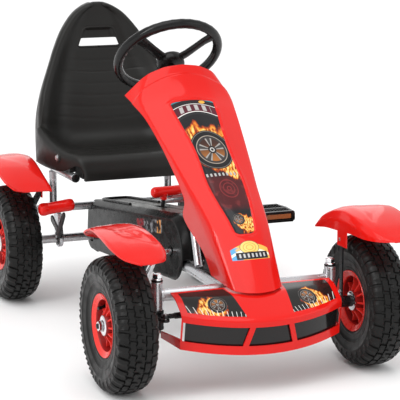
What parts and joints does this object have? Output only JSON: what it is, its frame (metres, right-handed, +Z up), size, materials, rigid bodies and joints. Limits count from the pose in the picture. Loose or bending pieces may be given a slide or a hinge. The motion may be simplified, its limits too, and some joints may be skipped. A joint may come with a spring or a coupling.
{
  "type": "pedal go kart",
  "caption": "Child's pedal go kart with a tube frame, pneumatic tyres, chain drive, bucket seat, red fairing, bumper and mudguards, and steered front wheels.",
  "frame": {"origin": "on the ground under the middle of the bounding box", "axes": "+Z up; the kart faces -Y; +X is the rider's left"},
  "size_m": [0.6192, 1.1, 0.6655],
  "materials": {
    "tyre": "matte black moulded rubber",
    "red_rim": "gloss red",
    "red_plastic": "gloss red",
    "seat_plastic": "fine textured black",
    "grip_plastic": "satin black",
    "cover_plastic": "satin to gloss black",
    "silver_tube": "silver powder coat",
    "chrome": "bright plated",
    "black_steel": "satin black",
    "dark_insert": "smoked gloss",
    "bare_steel": "zinc plated"
  },
  "bodies": {
    "frame": {"axle_carrier_left": "silver_tube", "axle_carrier_right": "silver_tube", "brake_bracket": "black_steel", "bumper": "red_plastic", "bumper_grille": "dark_insert", "chain": "bare_steel", "chain_cover_left": "cover_plastic", "chain_cover_right": "cover_plastic", "crank_bearing_left": "black_steel", "crank_bearing_right": "black_steel", "fairing": "red_plastic", "front_axle_beam": "silver_tube", "kingpin_bolt_left": "chrome", "kingpin_bolt_right": "chrome", "main_tube_left": "silver_tube", "main_tube_right": "silver_tube", "mudguard_rear_left": "red_plastic", "mudguard_rear_right": "red_plastic", "mudguard_stay_rear_left": "black_steel", "mudguard_stay_rear_right": "black_steel", "rear_cross_tube": "silver_tube", "seat_post_left": "silver_tube", "seat_post_right": "silver_tube", "seat_rail_left": "silver_tube", "seat_rail_right": "silver_tube", "steering_bracket": "black_steel", "steering_support": "silver_tube"},
    "seat": {"seat": "seat_plastic"},
    "steering": {"steering_wheel": "grip_plastic", "steering_column": "black_steel"},
    "rear_axle": {"rear_axle": "bare_steel", "sprocket": "bare_steel", "tyre_rear_right": "tyre", "rim_rear_right": "red_rim", "hub_nut_rear_left": "chrome", "hub_nut_rear_right": "chrome"},
    "wheel_rear_left": {"tyre_rear_left": "tyre", "rim_rear_left": "red_rim"},
    "crank": {"crank": "chrome", "chainring": "bare_steel"},
    "pedal_left": {"pedal_left": "grip_plastic"},
    "pedal_right": {"pedal_right": "grip_plastic"},
    "brake": {"brake_lever": "black_steel", "brake_grip": "red_plastic"},
    "gear": {"gear_lever": "black_steel", "gear_knob": "red_plastic"},
    "knuckle_left": {"knuckle_left": "black_steel", "hub_nut_front_left": "chrome", "mudguard_front_left": "red_plastic", "mudguard_stay_front_left": "black_steel"},
    "tie_rod_left": {"tie_rod_left": "black_steel"},
    "wheel_front_left": {"tyre_front_left": "tyre", "rim_front_left": "red_rim"},
    "knuckle_right": {"knuckle_right": "black_steel", "hub_nut_front_right": "chrome", "mudguard_front_right": "red_plastic", "mudguard_stay_front_right": "black_steel"},
    "tie_rod_right": {"tie_rod_right": "black_steel"},
    "wheel_front_right": {"tyre_front_right": "tyre", "rim_front_right": "red_rim"}
  },
  "joints": [
    {"name": "seat_slide", "type": "slide", "parent": "frame", "child": "seat", "axis": [0, 1, 0], "range_m": [-0.03, 0.04]},
    {"name": "steering_turn", "type": "hinge", "parent": "frame", "child": "steering", "pos_m": [0, 0.018, 0.582], "axis": [0, 0.682, 0.7314], "range_deg": [-30, 30]},
    {"name": "knuckle_left_turn", "type": "hinge", "parent": "frame", "child": "knuckle_left", "pos_m": [0.18, -0.395, 0.178], "axis": [0, 0, 1], "range_deg": [-18, 18]},
    {"name": "tie_rod_left_turn", "type": "hinge", "parent": "knuckle_left", "child": "tie_rod_left", "pos_m": [0.18, -0.44, 0.148], "axis": [0, 0, 1], "range_deg": [-18, 18]},
    {"name": "wheel_front_left_spin", "type": "hinge", "parent": "knuckle_left", "child": "wheel_front_left", "pos_m": [0.2575, -0.395, 0.13], "axis": [1, 0, 0], "continuous": true},
    {"name": "knuckle_right_turn", "type": "hinge", "parent": "frame", "child": "knuckle_right", "pos_m": [-0.18, -0.395, 0.178], "axis": [0, 0, 1], "range_deg": [-18, 18]},
    {"name": "tie_rod_right_turn", "type": "hinge", "parent": "knuckle_right", "child": "tie_rod_right", "pos_m": [-0.18, -0.44, 0.148], "axis": [0, 0, 1], "range_deg": [-18, 18]},
    {"name": "wheel_front_right_spin", "type": "hinge", "parent": "knuckle_right", "child": "wheel_front_right", "pos_m": [-0.2575, -0.395, 0.13], "axis": [1, 0, 0], "continuous": true},
    {"name": "rear_axle_spin", "type": "hinge", "parent": "frame", "child": "rear_axle", "pos_m": [0, 0.385, 0.13], "axis": [1, 0, 0], "continuous": true},
    {"name": "wheel_rear_left_spin", "type": "hinge", "parent": "rear_axle", "child": "wheel_rear_left", "pos_m": [0.2425, 0.385, 0.13], "axis": [1, 0, 0], "continuous": true},
    {"name": "crank_spin", "type": "hinge", "parent": "frame", "child": "crank", "pos_m": [0, -0.133, 0.1985], "axis": [1, 0, 0], "continuous": true},
    {"name": "pedal_left_spin", "type": "hinge", "parent": "crank", "child": "pedal_left", "pos_m": [0.147, -0.18462, 0.27222], "axis": [1, 0, 0], "continuous": true},
    {"name": "pedal_right_spin", "type": "hinge", "parent": "crank", "child": "pedal_right", "pos_m": [-0.147, -0.08138, 0.12478], "axis": [1, 0, 0], "continuous": true},
    {"name": "brake_pull", "type": "hinge", "parent": "frame", "child": "brake", "pos_m": [-0.1555, 0.315, 0.15], "axis": [1, 0, 0], "range_deg": [-15, 0], "stiffness_Nm_per_rad": 0.8, "springref_deg": 8.59},
    {"name": "gear_shift", "type": "hinge", "parent": "frame", "child": "gear", "pos_m": [0, 0.061, 0.23], "axis": [1, 0, 0], "range_deg": [-12, 12]}
  ],
  "couplings": [
    {"joint": "knuckle_left_turn", "follows": "steering_turn", "ratio": 0.6},
    {"joint": "tie_rod_left_turn", "follows": "steering_turn", "ratio": -0.6},
    {"joint": "knuckle_right_turn", "follows": "steering_turn", "ratio": 0.6},
    {"joint": "tie_rod_right_turn", "follows": "steering_turn", "ratio": -0.6},
    {"joint": "crank_spin", "follows": "rear_axle_spin", "ratio": 0.65}
  ]
}
